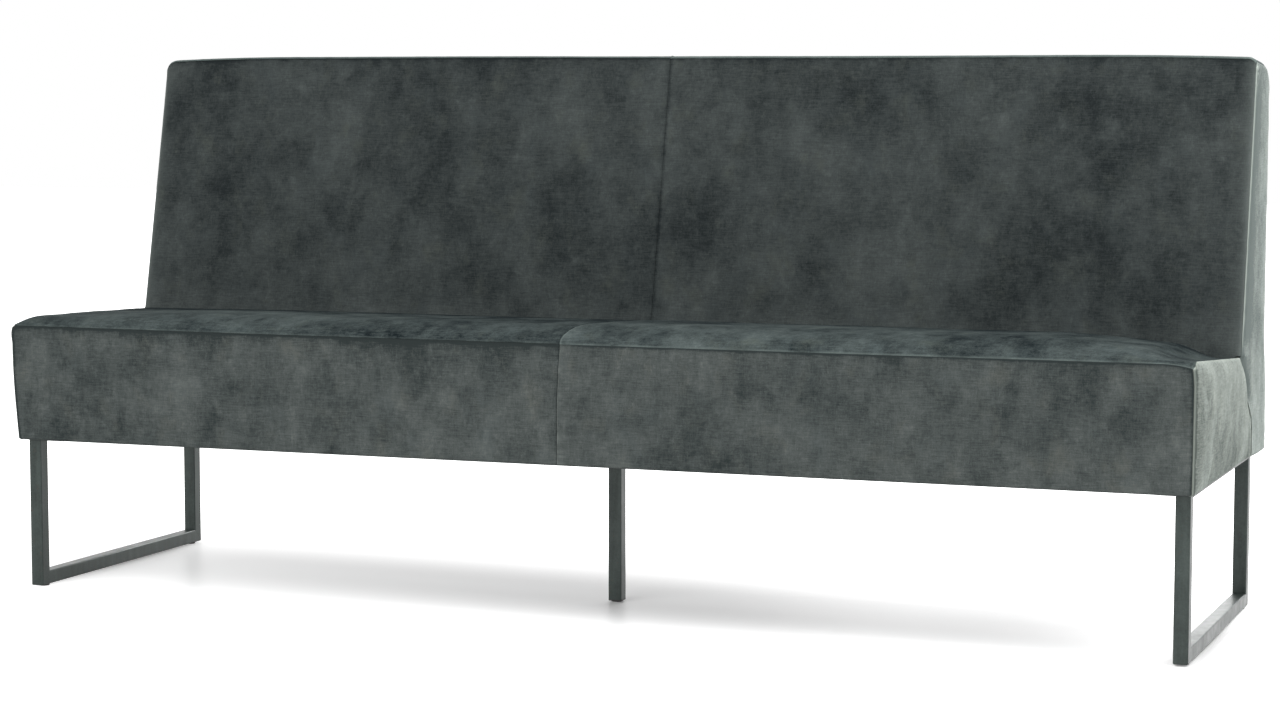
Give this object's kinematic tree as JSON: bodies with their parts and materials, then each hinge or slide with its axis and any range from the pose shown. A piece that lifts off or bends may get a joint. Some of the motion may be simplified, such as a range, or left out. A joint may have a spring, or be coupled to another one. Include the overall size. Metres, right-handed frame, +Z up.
{
  "type": "dining bench",
  "caption": "Long velvet dining bench with a high reclined back on square steel tube U-legs and a middle post.",
  "frame": {"origin": "on the floor, at the bottom centre of the bench's bounding box", "axes": "+X along the bench, to the right of someone facing its front; -Y out of the front; +Z up"},
  "size_m": [2.204, 0.676, 0.9877],
  "materials": {
    "blackened_steel": "blackened steel tube under a clear satin lacquer",
    "zinc_steel": "zinc plated",
    "black_plastic": "moulded, matt",
    "beech_wood": "planed, raw",
    "plywood": "sanded, raw",
    "hardboard": "smooth on one side",
    "elastic_webbing": "woven elastic",
    "felt": "needled felt",
    "wadding": "polyester wadding",
    "foam": "open-cell foam",
    "velvet": "grey-green velvet with a smoky mottled nap",
    "dust_cloth": "black spun cloth"
  },
  "bodies": {
    "root": {"back_bolts": "zinc_steel", "back_end_cover_left": "velvet", "back_end_cover_right": "velvet", "back_end_foam_left": "foam", "back_end_foam_right": "foam", "back_foam_left": "foam", "back_foam_right": "foam", "back_front_cover_left": "velvet", "back_front_cover_right": "velvet", "back_inner_ribs": "plywood", "back_left_rib": "plywood", "back_outer_board": "hardboard", "back_rear_cover_left": "velvet", "back_rear_cover_right": "velvet", "back_rear_wadding": "wadding", "back_right_rib": "plywood", "back_top_cover_left": "velvet", "back_top_cover_right": "velvet", "back_top_rail": "beech_wood", "back_webbing": "elastic_webbing", "dust_cover": "dust_cloth", "floor_glides": "black_plastic", "left_leg_floor_rail": "blackened_steel", "left_leg_front_post": "blackened_steel", "left_leg_rear_post": "blackened_steel", "left_leg_top_strip": "blackened_steel", "leg_boards": "beech_wood", "leg_bolts": "zinc_steel", "middle_leg_board": "beech_wood", "middle_leg_glide": "black_plastic", "middle_leg_plate": "blackened_steel", "middle_leg_post": "blackened_steel", "right_leg_floor_rail": "blackened_steel", "right_leg_front_post": "blackened_steel", "right_leg_rear_post": "blackened_steel", "right_leg_top_strip": "blackened_steel", "seat_corner_blocks": "beech_wood", "seat_cross_rails": "beech_wood", "seat_end_cover_left": "velvet", "seat_end_cover_right": "velvet", "seat_end_pad_left": "foam", "seat_end_pad_right": "foam", "seat_foam_left": "foam", "seat_foam_right": "foam", "seat_front_cover_left": "velvet", "seat_front_cover_right": "velvet", "seat_front_rail": "beech_wood", "seat_front_wadding": "wadding", "seat_inner_rail": "beech_wood", "seat_left_rail": "beech_wood", "seat_rear_rail": "beech_wood", "seat_right_rail": "beech_wood", "seat_spring_pad": "felt", "seat_top_cover_left": "velvet", "seat_top_cover_right": "velvet", "seat_webbing": "elastic_webbing", "tee_nuts": "zinc_steel", "washers": "zinc_steel"}
  },
  "joints": []
}
